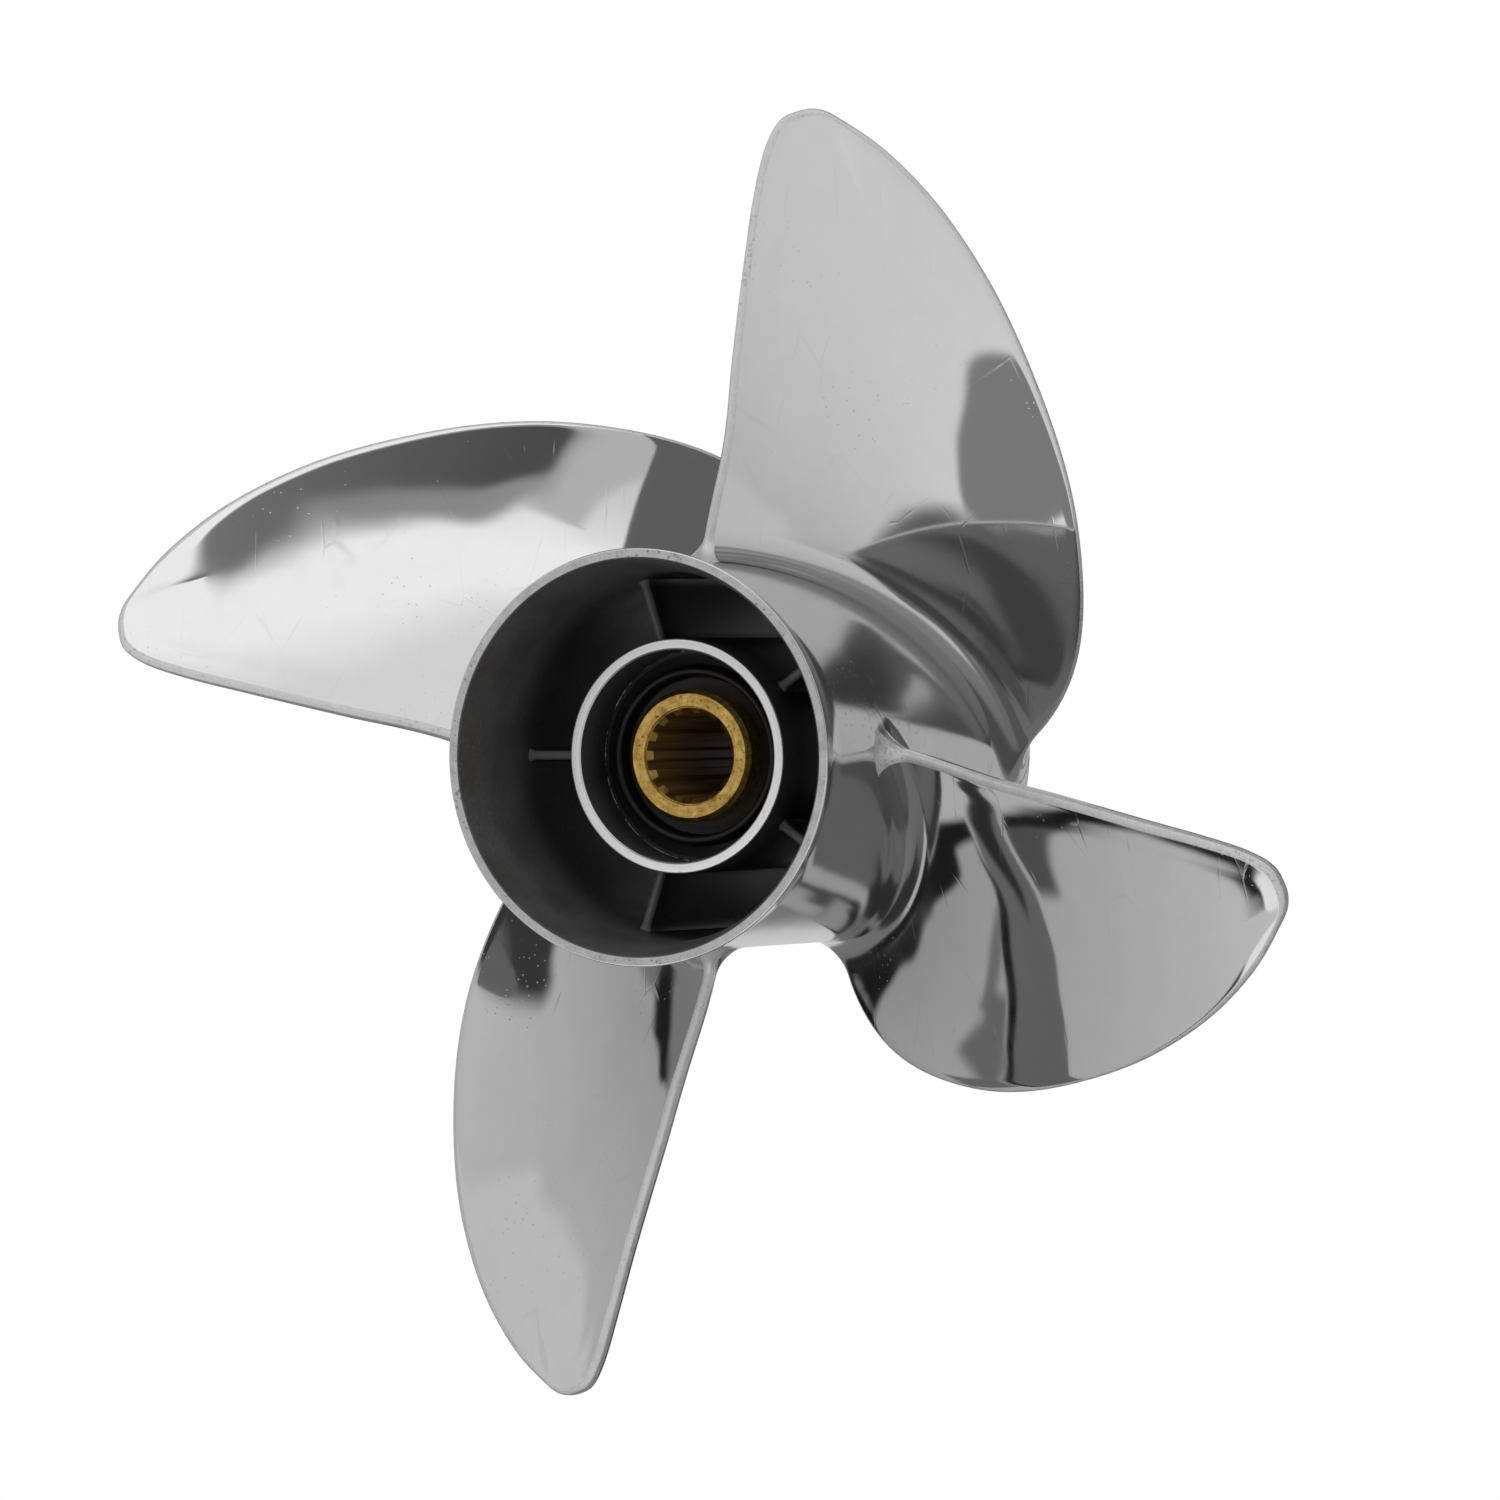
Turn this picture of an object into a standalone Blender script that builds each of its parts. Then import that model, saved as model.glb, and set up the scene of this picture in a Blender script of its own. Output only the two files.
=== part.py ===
"""Four-blade propeller for an outboard or stern drive, at real size.

A polished stainless-steel casting (outer hub, ribs, inner hub and blades) holds a
rubber drive bushing and a splined brass sleeve. Exhaust leaves between the two hubs.

The shaft axis is Y: +Y points forward to the boat, -Y points aft, +Z is up.
The origin is on the shaft axis, at half the outer hub's length.
Each piece is modelled about its own Z axis, forward up, under the empty shaft_axis.
"""
import math

import bmesh
import bpy

# Gap between neighbouring pieces
GAP = 0.0003

# Outer hub: a tube with a flared aft rim and a rounded front edge
HUB_LENGTH = 0.148
RIM_RADIUS = 0.0575
HUB_RADIUS = 0.054
HUB_WALL = 0.003
FLARE_LENGTH = 0.017
RIM_CHAMFER = 0.0004
FRONT_ROUND = 0.0015

# Inner hub: a tube that carries the bushing, set back from both ends
INNER_HUB_RADIUS = 0.0325
INNER_HUB_AFT = 0.0255
INNER_HUB_FRONT = 0.141
INNER_HUB_MOUTH_RADIUS = 0.0295
INNER_HUB_BORE_RADIUS = 0.0285
INNER_HUB_STEP = 0.042
INNER_HUB_CHAMFER = 0.0006

# Ribs between the two hubs
RIB_COUNT = 5
RIB_AFT = 0.037
RIB_FRONT = 0.139
RIB_THICKNESS = 0.0026
RIB_FIRST_ANGLE = math.radians(180)
RIB_EDGE_ROUND = 0.0008

# Rubber bushing with a moulded collar on its aft face
BUSHING_FRONT = 0.131
COLLAR_AFT = 0.037
COLLAR_OUTER_RADIUS = 0.0247
COLLAR_INNER_RADIUS = 0.0224

# Brass sleeve with internal spline teeth
SLEEVE_RADIUS = 0.0185
SLEEVE_AFT = 0.0337
SLEEVE_FRONT = 0.138
SLEEVE_CHAMFER = 0.0013
SLEEVE_MOUTH_RADIUS = 0.0136
SLEEVE_RECESS = 0.0008
TOOTH_COUNT = 15
TOOTH_TIP_RADIUS = 0.0119
TOOTH_ROOT_RADIUS = 0.0134
TOOTH_BASE_WIDTH = 0.0034
TOOTH_TIP_WIDTH = 0.0024
TOOTH_FIRST_ANGLE = math.radians(180)

# Blades: a right-hand screw surface with rake, measured on the aft (pressure) face
BLADE_COUNT = 4
BLADE_PITCH = 0.3745
BLADE_PITCH_GROWTH = 0.31
BLADE_PITCH_RADIUS = 0.120
BLADE_START = 0.0455
RAKE_LINEAR = 0.241
RAKE_SQUARE = 1.46
RAKE_CUBE = -13.3

# Blade outline by hand-chosen radii: trailing and leading edge angles in degrees
OUTLINE_RADII = (0.054, 0.060, 0.085, 0.110, 0.135, 0.155, 0.170, 0.178, 0.181, 0.1825)
TRAILING_ANGLES = (0.9, -0.4, -4.6, -6.3, -7.5, -8.2, -8.9, -9.9, -11.2, -12.3)
LEADING_ANGLES = (-91.4, -88.1, -74.6, -58.2, -42.5, -31.6, -23.2, -17.7, -14.9, -13.4)
SECTION_RADII = (0.0543, 0.0552, 0.0570, 0.0600, 0.0640, 0.0720, 0.0850, 0.0975, 0.1100,
                 0.1225, 0.1350, 0.1450, 0.1550, 0.1630, 0.1700, 0.1750, 0.1785, 0.1805,
                 0.1818, 0.1825)
ROOT_THICKNESS = 0.0095
TIP_THICKNESS = 0.0036
TRAILING_THICKNESS = 0.0034
LEADING_THICKNESS = 0.0014
CUP_DEPTH = 0.00075
CUP_REACH = 0.020
TRAILING_FILLET = 0.0075
LEADING_FILLET = 0.0098
CHORD_STEPS = 14
DEPTH_STEPS = 4

HUB_SEGMENTS = 96
BORE_SEGMENTS = 60
ARC_STEPS = 4


def clear_scene():
    """Remove every object, so that the script starts from nothing."""
    for thing in list(bpy.data.objects):
        bpy.data.objects.remove(thing, do_unlink=True)


def make_collection(name):
    """A new collection in the scene."""
    group = bpy.data.collections.new(name)
    bpy.context.scene.collection.children.link(group)
    return group


def make_material(name, colour, roughness, metallic):
    """A Principled material with one colour, roughness and metallic value."""
    material = bpy.data.materials.new(name)
    material.use_nodes = True
    shader = material.node_tree.nodes["Principled BSDF"]
    shader.inputs["Base Color"].default_value = (*colour, 1.0)
    shader.inputs["Roughness"].default_value = roughness
    shader.inputs["Metallic"].default_value = metallic
    return material


def along(depth):
    """Height on a piece's own Z axis of a point this far forward of the aft rim."""
    return depth - HUB_LENGTH / 2


def place(name, mesh, material, collection, parent, turn=0.0):
    """Add an object that carries the mesh, turned about the shaft and shaded smooth."""
    if not mesh.materials:
        mesh.materials.append(material)
    piece = bpy.data.objects.new(name, mesh)
    collection.objects.link(piece)
    piece.parent = parent
    piece.rotation_euler = (0.0, 0.0, turn)
    mesh.shade_smooth()
    mesh.set_sharp_from_angle(angle=math.radians(35))
    return piece


def turned_piece(name, profile, segments, material, collection, parent):
    """Turn a closed profile of (radius, depth) points about the shaft axis."""
    mesh = bpy.data.meshes.new(name)
    points = [(radius, 0.0, along(depth)) for radius, depth in profile]
    edges = [(i, (i + 1) % len(points)) for i in range(len(points))]
    mesh.from_pydata(points, edges, [])
    piece = place(name, mesh, material, collection, parent)
    screw = piece.modifiers.new("turn", "SCREW")
    screw.axis = "Z"
    screw.angle = 2 * math.pi
    screw.steps = segments
    screw.render_steps = segments
    screw.use_merge_vertices = True
    screw.merge_threshold = 0.00001
    return piece


def hub_outer_radius(depth):
    """Outer radius of the hub: a cylinder that flares to the aft rim."""
    flare = max(0.0, 1.0 - depth / FLARE_LENGTH)
    return HUB_RADIUS + (RIM_RADIUS - HUB_RADIUS) * flare ** 2


def outer_hub_profile():
    """Front edge, outer side with its flare, aft rim, then the inside back to the front."""
    arc_centre = (HUB_RADIUS - FRONT_ROUND, HUB_LENGTH - FRONT_ROUND)
    profile = []
    for step in range(ARC_STEPS + 1):
        angle = math.radians(90) * (1 - step / ARC_STEPS)
        profile.append((arc_centre[0] + FRONT_ROUND * math.cos(angle),
                        arc_centre[1] + FRONT_ROUND * math.sin(angle)))
    flare_steps = 6
    for step in range(flare_steps):
        depth = FLARE_LENGTH * (1 - step / flare_steps)
        profile.append((hub_outer_radius(depth), depth))
    profile.append((RIM_RADIUS - RIM_CHAMFER / 2, RIM_CHAMFER))
    profile.append((RIM_RADIUS - RIM_CHAMFER, 0.0))
    profile.append((RIM_RADIUS - HUB_WALL + RIM_CHAMFER, 0.0))
    for step in range(flare_steps):
        depth = RIM_CHAMFER + FLARE_LENGTH * step / flare_steps
        profile.append((hub_outer_radius(depth) - HUB_WALL, depth))
    profile.append((HUB_RADIUS - HUB_WALL, FLARE_LENGTH + RIM_CHAMFER))
    profile.append((HUB_RADIUS - HUB_WALL, HUB_LENGTH))
    return profile


def inner_hub_profile():
    """A tube whose bore steps down behind a wide aft mouth."""
    edge = INNER_HUB_CHAMFER
    return [
        (INNER_HUB_RADIUS - edge, INNER_HUB_FRONT),
        (INNER_HUB_RADIUS, INNER_HUB_FRONT - edge),
        (INNER_HUB_RADIUS, INNER_HUB_AFT + edge),
        (INNER_HUB_RADIUS - edge, INNER_HUB_AFT),
        (INNER_HUB_MOUTH_RADIUS, INNER_HUB_AFT),
        (INNER_HUB_MOUTH_RADIUS, INNER_HUB_STEP),
        (INNER_HUB_BORE_RADIUS, INNER_HUB_STEP),
        (INNER_HUB_BORE_RADIUS, INNER_HUB_FRONT),
    ]


def bushing_profile():
    """A thick rubber tube with a thin collar standing out of its aft face."""
    outer = INNER_HUB_BORE_RADIUS - GAP
    inner = SLEEVE_RADIUS + GAP
    face = INNER_HUB_STEP + GAP
    return [
        (outer, BUSHING_FRONT),
        (outer, face),
        (COLLAR_OUTER_RADIUS, face),
        (COLLAR_OUTER_RADIUS, COLLAR_AFT),
        (COLLAR_INNER_RADIUS, COLLAR_AFT),
        (COLLAR_INNER_RADIUS, face),
        (inner, face),
        (inner, BUSHING_FRONT),
    ]


def sleeve_profile():
    """The sleeve before its spline is cut: at both ends a recess, then a cone to the teeth."""
    cone = SLEEVE_MOUTH_RADIUS - TOOTH_TIP_RADIUS
    return [
        (SLEEVE_RADIUS - SLEEVE_CHAMFER, SLEEVE_FRONT),
        (SLEEVE_RADIUS, SLEEVE_FRONT - SLEEVE_CHAMFER),
        (SLEEVE_RADIUS, SLEEVE_AFT + SLEEVE_CHAMFER),
        (SLEEVE_RADIUS - SLEEVE_CHAMFER, SLEEVE_AFT),
        (SLEEVE_MOUTH_RADIUS, SLEEVE_AFT),
        (SLEEVE_MOUTH_RADIUS, SLEEVE_AFT + SLEEVE_RECESS),
        (TOOTH_TIP_RADIUS, SLEEVE_AFT + SLEEVE_RECESS + cone),
        (TOOTH_TIP_RADIUS, SLEEVE_FRONT - SLEEVE_RECESS - cone),
        (SLEEVE_MOUTH_RADIUS, SLEEVE_FRONT - SLEEVE_RECESS),
        (SLEEVE_MOUTH_RADIUS, SLEEVE_FRONT),
    ]


def spline_outline():
    """Points round the space between the spline teeth, in the sleeve's own XY plane."""
    overlap = 0.001
    inside = TOOTH_TIP_RADIUS - overlap
    lean = (TOOTH_BASE_WIDTH - TOOTH_TIP_WIDTH) / (TOOTH_ROOT_RADIUS - TOOTH_TIP_RADIUS)
    base_half = TOOTH_BASE_WIDTH / 2 / TOOTH_ROOT_RADIUS
    tip_half = (TOOTH_TIP_WIDTH / 2 - lean * (TOOTH_TIP_RADIUS - inside) / 2) / inside
    pitch = 2 * math.pi / TOOTH_COUNT
    outline = []
    for tooth in range(TOOTH_COUNT):
        middle = TOOTH_FIRST_ANGLE + tooth * pitch
        corners = ((inside, middle - tip_half), (inside, middle + tip_half),
                   (TOOTH_ROOT_RADIUS, middle + base_half),
                   (TOOTH_ROOT_RADIUS, middle + pitch / 2),
                   (TOOTH_ROOT_RADIUS, middle + pitch - base_half))
        outline += [(radius * math.cos(angle), radius * math.sin(angle))
                    for radius, angle in corners]
    return outline


def spline_cutter(collection, parent):
    """A prism of the space between the teeth, longer than the sleeve."""
    shape = bmesh.new()
    margin = 0.005
    bottom = along(SLEEVE_AFT) - margin
    height = SLEEVE_FRONT - SLEEVE_AFT + 2 * margin
    ring = [shape.verts.new((x, y, bottom)) for x, y in spline_outline()]
    floor = shape.faces.new(ring)
    lifted = bmesh.ops.extrude_face_region(shape, geom=[floor])["geom"]
    top = [part for part in lifted if isinstance(part, bmesh.types.BMVert)]
    bmesh.ops.translate(shape, verts=top, vec=(0.0, 0.0, height))
    bmesh.ops.recalc_face_normals(shape, faces=shape.faces)
    mesh = bpy.data.meshes.new("spline_cutter")
    shape.to_mesh(mesh)
    shape.free()
    cutter = bpy.data.objects.new("spline_cutter", mesh)
    collection.objects.link(cutter)
    cutter.parent = parent
    cutter.hide_render = True
    cutter.display_type = "WIRE"
    return cutter


def make_sleeve(material, collection, cutters, parent):
    """The brass sleeve: a turned blank with the spline cut through it."""
    sleeve = turned_piece("spline_sleeve", sleeve_profile(), BORE_SEGMENTS, material,
                          collection, parent)
    cut = sleeve.modifiers.new("spline", "BOOLEAN")
    cut.operation = "DIFFERENCE"
    cut.solver = "EXACT"
    cut.object = spline_cutter(cutters, parent)
    return sleeve


def make_ribs(material, collection, parent):
    """Flat ribs that join the inner hub to the outer hub."""
    inner = INNER_HUB_RADIUS + GAP
    outer = HUB_RADIUS - HUB_WALL - GAP
    size = (outer - inner, RIB_THICKNESS, RIB_FRONT - RIB_AFT)
    centre = ((inner + outer) / 2, 0.0, along((RIB_AFT + RIB_FRONT) / 2))
    shape = bmesh.new()
    bmesh.ops.create_cube(shape, size=1.0)
    bmesh.ops.scale(shape, vec=size, verts=shape.verts)
    bmesh.ops.translate(shape, vec=centre, verts=shape.verts)
    mesh = bpy.data.meshes.new("rib")
    shape.to_mesh(mesh)
    shape.free()
    for number in range(RIB_COUNT):
        turn = -(RIB_FIRST_ANGLE + 2 * math.pi * number / RIB_COUNT)
        rib = place(f"rib_{number + 1}", mesh, material, collection, parent, turn)
        rounding = rib.modifiers.new("edges", "BEVEL")
        rounding.width = RIB_EDGE_ROUND
        rounding.segments = 2
        rounding.limit_method = "ANGLE"


def between(radius, values):
    """A value at this radius, read straight between the outline's radii."""
    last = len(OUTLINE_RADII) - 2
    index = 0
    while index < last and radius > OUTLINE_RADII[index + 1]:
        index += 1
    low, high = OUTLINE_RADII[index], OUTLINE_RADII[index + 1]
    share = (radius - low) / (high - low)
    return values[index] + (values[index + 1] - values[index]) * share


def smooth_between(radius, values):
    """The value between the outline's radii on a smooth curve through them."""
    reach = 0.004
    return (between(radius - reach, values) + 2 * between(radius, values)
            + between(radius + reach, values)) / 4


def pitch_rate(radius):
    """Axial travel of the blade face for each radian, at this radius."""
    growth = BLADE_PITCH_GROWTH * (radius - BLADE_PITCH_RADIUS)
    return (BLADE_PITCH + growth) / (2 * math.pi)


def face_depth(radius, angle):
    """Distance forward of the aft rim of the blade's aft face."""
    out = radius - RIM_RADIUS
    rake = RAKE_LINEAR * out + RAKE_SQUARE * out ** 2 + RAKE_CUBE * out ** 3
    return BLADE_START - rake - pitch_rate(radius) * angle


def thickness(radius, share):
    """Blade thickness at a share of the chord, from trailing (0) to leading edge (1)."""
    middle_share = (radius - HUB_RADIUS) / (OUTLINE_RADII[-1] - HUB_RADIUS)
    middle = ROOT_THICKNESS + (TIP_THICKNESS - ROOT_THICKNESS) * middle_share
    edge = TRAILING_THICKNESS + (LEADING_THICKNESS - TRAILING_THICKNESS) * share
    centre_edge = (TRAILING_THICKNESS + LEADING_THICKNESS) / 2
    return edge + (middle - centre_edge) * 4 * share * (1 - share)


def fillet_growth(radius, share):
    """How far the root fillet widens the blade at this radius and share of the chord."""
    fillet = TRAILING_FILLET + (LEADING_FILLET - TRAILING_FILLET) * share
    up = min(fillet, radius - HUB_RADIUS)
    return fillet - math.sqrt(fillet ** 2 - (fillet - up) ** 2)


def section_point(radius, share, through):
    """A point of the blade's section, share along the chord, through from aft to front."""
    trailing = math.radians(smooth_between(radius, TRAILING_ANGLES))
    leading = math.radians(smooth_between(radius, LEADING_ANGLES))
    angle = trailing + (leading - trailing) * share
    depth = face_depth(radius, angle)
    slope = math.atan2(pitch_rate(radius), radius)
    chord = radius * (trailing - leading) / math.cos(slope)
    near_edge = max(0.0, 1 - share * chord / CUP_REACH)
    cup = CUP_DEPTH * (1 - near_edge ** 3) * (1 - share)
    growth = fillet_growth(radius, share)
    across = cup + thickness(radius, share) * through + growth * (2 * through - 1)
    lengthwise = growth * (1 - 2 * share)
    sideways = across * math.sin(slope) + lengthwise * math.cos(slope)
    forward = across * math.cos(slope) - lengthwise * math.sin(slope)
    turn = angle + sideways / radius
    return (radius * math.cos(turn), -radius * math.sin(turn), along(depth + forward))


def blade_mesh():
    """Loft the blade's sections from the hub to the tip, and close both ends."""
    shape = bmesh.new()
    shares = [step / CHORD_STEPS for step in range(CHORD_STEPS + 1)]
    depths = [step / DEPTH_STEPS for step in range(DEPTH_STEPS + 1)]
    rim = [(i, 0) for i in range(CHORD_STEPS)]
    rim += [(CHORD_STEPS, j) for j in range(DEPTH_STEPS)]
    rim += [(i, DEPTH_STEPS) for i in range(CHORD_STEPS, 0, -1)]
    rim += [(0, j) for j in range(DEPTH_STEPS, 0, -1)]
    loops = []
    for radius in SECTION_RADII:
        loops.append({(i, j): shape.verts.new(section_point(radius, shares[i], depths[j]))
                      for i, j in rim})
    for lower, upper in zip(loops, loops[1:]):
        for here, there in zip(rim, rim[1:] + rim[:1]):
            shape.faces.new((lower[here], lower[there], upper[there], upper[here]))
    for radius, loop in ((SECTION_RADII[0], loops[0]), (SECTION_RADII[-1], loops[-1])):
        close_end(shape, radius, loop, shares, depths)
    bmesh.ops.recalc_face_normals(shape, faces=shape.faces)
    mesh = bpy.data.meshes.new("blade")
    shape.to_mesh(mesh)
    shape.free()
    return mesh


def close_end(shape, radius, loop, shares, depths):
    """Fill a section with a grid that follows the cylinder of its radius."""
    grid = dict(loop)
    for i in range(1, CHORD_STEPS):
        for j in range(1, DEPTH_STEPS):
            grid[i, j] = shape.verts.new(section_point(radius, shares[i], depths[j]))
    for i in range(CHORD_STEPS):
        for j in range(DEPTH_STEPS):
            shape.faces.new((grid[i, j], grid[i + 1, j], grid[i + 1, j + 1], grid[i, j + 1]))


def make_blades(material, collection, parent):
    """Four copies of the blade, a quarter turn apart, the first one pointing up."""
    mesh = blade_mesh()
    for number in range(BLADE_COUNT):
        turn = -(math.radians(90) + 2 * math.pi * number / BLADE_COUNT)
        place(f"blade_{number + 1}", mesh, material, collection, parent, turn)


def build():
    """Model the propeller."""
    clear_scene()
    parts = make_collection("propeller")
    cutters = make_collection("cutters")
    steel = make_material("polished_steel", (0.62, 0.62, 0.61), 0.12, 1.0)
    cast_steel = make_material("cast_steel", (0.30, 0.30, 0.30), 0.45, 1.0)
    rubber = make_material("black_rubber", (0.02, 0.02, 0.02), 0.6, 0.0)
    brass = make_material("brass", (0.72, 0.50, 0.16), 0.3, 1.0)

    shaft = bpy.data.objects.new("shaft_axis", None)
    parts.objects.link(shaft)
    shaft.rotation_euler = (math.radians(-90), 0.0, 0.0)

    turned_piece("outer_hub", outer_hub_profile(), HUB_SEGMENTS, steel, parts, shaft)
    turned_piece("inner_hub", inner_hub_profile(), BORE_SEGMENTS, cast_steel, parts, shaft)
    turned_piece("rubber_bushing", bushing_profile(), BORE_SEGMENTS, rubber, parts, shaft)
    make_sleeve(brass, parts, cutters, shaft)
    make_ribs(cast_steel, parts, shaft)
    make_blades(steel, parts, shaft)


build()
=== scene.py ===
import math

import bmesh
import bpy
from mathutils import Matrix, Vector


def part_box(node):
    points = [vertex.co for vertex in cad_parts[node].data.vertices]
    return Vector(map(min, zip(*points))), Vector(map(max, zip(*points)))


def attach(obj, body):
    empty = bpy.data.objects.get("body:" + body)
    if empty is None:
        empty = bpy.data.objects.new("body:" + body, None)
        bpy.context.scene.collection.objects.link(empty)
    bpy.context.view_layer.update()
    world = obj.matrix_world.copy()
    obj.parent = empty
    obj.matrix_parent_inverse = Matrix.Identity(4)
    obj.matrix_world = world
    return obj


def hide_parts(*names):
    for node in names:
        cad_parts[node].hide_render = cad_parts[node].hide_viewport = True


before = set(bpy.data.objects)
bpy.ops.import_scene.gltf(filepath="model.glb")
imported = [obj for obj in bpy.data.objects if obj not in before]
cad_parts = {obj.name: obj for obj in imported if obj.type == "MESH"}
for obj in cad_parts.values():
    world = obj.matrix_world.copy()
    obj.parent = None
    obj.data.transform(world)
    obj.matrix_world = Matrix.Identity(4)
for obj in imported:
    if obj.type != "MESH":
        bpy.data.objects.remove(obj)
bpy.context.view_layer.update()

# Sizes read from the frame, in metres
HUB_LOW, HUB_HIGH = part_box("outer_hub")
AFT_RIM = HUB_LOW[1]
HUB_LENGTH = HUB_HIGH[1] - AFT_RIM

# Outer hub, the same driving sizes as the solids
RIM_RADIUS = 0.0575
HUB_RADIUS = 0.054
HUB_WALL = 0.003
FLARE_LENGTH = 0.017
FRONT_ROUND = 0.0015
RIM_EDGE = 0.0004
RIM_INNER_EDGE = 0.0005
INNER_FLARE_EXTRA = 0.004

# Inner hub
INNER_HUB_RADIUS = 0.0325
INNER_HUB_AFT = 0.0255
INNER_HUB_FRONT = 0.141
INNER_HUB_MOUTH_RADIUS = 0.0295
INNER_HUB_BORE_RADIUS = 0.0285
INNER_HUB_STEP = 0.042
INNER_HUB_EDGE = 0.0005
INNER_HUB_MOUTH_EDGE = 0.0004
INNER_HUB_RING = 0.02
BURR_RADIUS = 0.00016

# Ribs between the two hubs
RIB_COUNT = 5
RIB_AFT = 0.037
RIB_FRONT = 0.139
RIB_THICKNESS = 0.0026
RIB_FILLET = 0.0012
RIB_DRAFT = 0.008
RIB_OVERLAP = 0.001
RIB_FIRST_ANGLE = math.radians(180)

# Bushing and its collar
BUSHING_FRONT = 0.131
COLLAR_AFT = 0.037
COLLAR_OUTER_RADIUS = 0.0247
COLLAR_INNER_RADIUS = 0.0224
COLLAR_FILLET = 0.001
BUSHING_GAP = 0.0003

# Sleeve and its spline
SLEEVE_RADIUS = 0.0185
SLEEVE_AFT = 0.0337
SLEEVE_FRONT = 0.138
SLEEVE_CHAMFER = 0.0013
SLEEVE_MOUTH_RADIUS = 0.0136
SLEEVE_RECESS = 0.0008
SLEEVE_EDGE = 0.0002
TOOTH_COUNT = 15
TOOTH_TIP_RADIUS = 0.0119
TOOTH_ROOT_RADIUS = 0.0134
TOOTH_BASE_WIDTH = 0.0034
TOOTH_TIP_WIDTH = 0.0024

# Blades
BLADE_COUNT = 4
BLADE_PITCH = 0.3745
BLADE_PITCH_GROWTH = 0.31
BLADE_PITCH_RADIUS = 0.120
BLADE_START = 0.0455
RAKE_LINEAR = 0.241
RAKE_SQUARE = 1.46
RAKE_CUBE = -13.3
# Blade outline, from the leading edge's root over the tip to the trailing edge's root:
# radius in metres and angle in degrees
OUTLINE = (
    (0.0525, -92.2),
    (0.0600, -88.1),
    (0.0850, -74.6),
    (0.1100, -58.2),
    (0.1350, -42.5),
    (0.1550, -31.6),
    (0.1700, -23.2),
    (0.1780, -17.7),
    (0.1810, -14.9),
    (0.1825, -12.9),
    (0.1810, -11.2),
    (0.1780, -9.9),
    (0.1700, -8.9),
    (0.1550, -8.2),
    (0.1350, -7.5),
    (0.1100, -6.3),
    (0.0850, -4.6),
    (0.0600, -0.4),
    (0.0525, 1.2),
)
TIP_RADIUS = 0.1825
OUTLINE_ROOT = OUTLINE[0][0]
SPINE_KNEE = 0.140
ROOT_THICKNESS = 0.0095
TIP_THICKNESS = 0.0036
TRAILING_THICKNESS = 0.0034
LEADING_THICKNESS = 0.0014
TRAILING_ROLL_WIDTH = 0.0022
TRAILING_ROLL_DEPTH = 0.0010
LEADING_ROLL_WIDTH = 0.0015
LEADING_ROLL_DEPTH = 0.0006
FORWARD_ROLL = 0.0004
LEADING_CROWN = 0.0003
LEADING_CROWN_WIDTH = 0.005
TRAILING_FACET = 0.00025
TRAILING_FACET_WIDTH = 0.007
TRAILING_TO_LEADING = (0.06, -0.24)
CUP_DEPTH = 0.00075
CUP_REACH = 0.020
TRAILING_FILLET = 0.0075
LEADING_FILLET = 0.0098

# Steps of the meshes
SPIN_STEPS = 256
BODY_STEPS = 8
FLARE_STEPS = 24
TOOTH_STEPS = 24
RIB_NOSE_STEPS = 8
RIB_SIDE_STEPS = 6
RIB_OUT_STEPS = 16
FACE_STEPS = 22
ROLL_STEPS = 8
EDGE_STEPS = 4
SPAN_STEPS = 84
FILLET_STEPS = 16

# Powers that crowd the blades' stations to the edges and their rows to the tip
EDGE_CROWDING = 1.4
TIP_CROWDING = 1.9
TRAILING_FACET_POWER = 1.2

# Angles in degrees over which shading breaks
CREASE = 30
BLADE_CREASE = 50


def at(radius, angle, depth):
    """A point at this radius and angle (anticlockwise seen from aft), forward of the rim."""
    return Vector((radius * math.cos(angle), AFT_RIM + depth, radius * math.sin(angle)))


def finish_piece(name, shape, materials, slot, *nodes, crease=CREASE):
    """Turn a bmesh into a piece that rides on the root body and stands for CAD nodes."""
    mesh = bpy.data.meshes.new(name)
    shape.to_mesh(mesh)
    shape.free()
    for material in materials:
        mesh.materials.append(material)
    mesh.shade_smooth()
    mesh.set_sharp_from_angle(angle=math.radians(crease))
    piece = bpy.data.objects.new(name, mesh)
    bpy.context.scene.collection.objects.link(piece)
    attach(piece, "root")
    if nodes:
        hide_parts(*nodes)
    return piece


def arc(centre_radius, centre_depth, size, start, end, steps):
    """Profile points (radius, depth) on an arc, its angles in degrees from straight out."""
    points = []
    for step in range(steps + 1):
        angle = math.radians(start + (end - start) * step / steps)
        points.append((centre_radius + size * math.cos(angle),
                       centre_depth + size * math.sin(angle)))
    return points


def turned(name, runs, materials, slot, *nodes):
    """Spin a closed profile, given as runs of (points, material number), about the shaft."""
    shape = bmesh.new()
    first = last = None
    for points, number in runs:
        for radius, depth in points:
            vert = shape.verts.new(at(radius, 0.0, depth))
            if last is not None:
                shape.edges.new((last, vert))
            first = first or vert
            last = vert
    shape.edges.new((last, first))
    bmesh.ops.spin(shape, geom=shape.verts[:] + shape.edges[:], cent=(0, 0, 0),
                   axis=(0, 1, 0), angle=2 * math.pi, steps=SPIN_STEPS, use_merge=True)
    bmesh.ops.remove_doubles(shape, verts=shape.verts, dist=1e-6)
    bmesh.ops.recalc_face_normals(shape, faces=shape.faces)
    paint_runs(shape, runs)
    return finish_piece(name, shape, materials, slot, *nodes)


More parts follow.
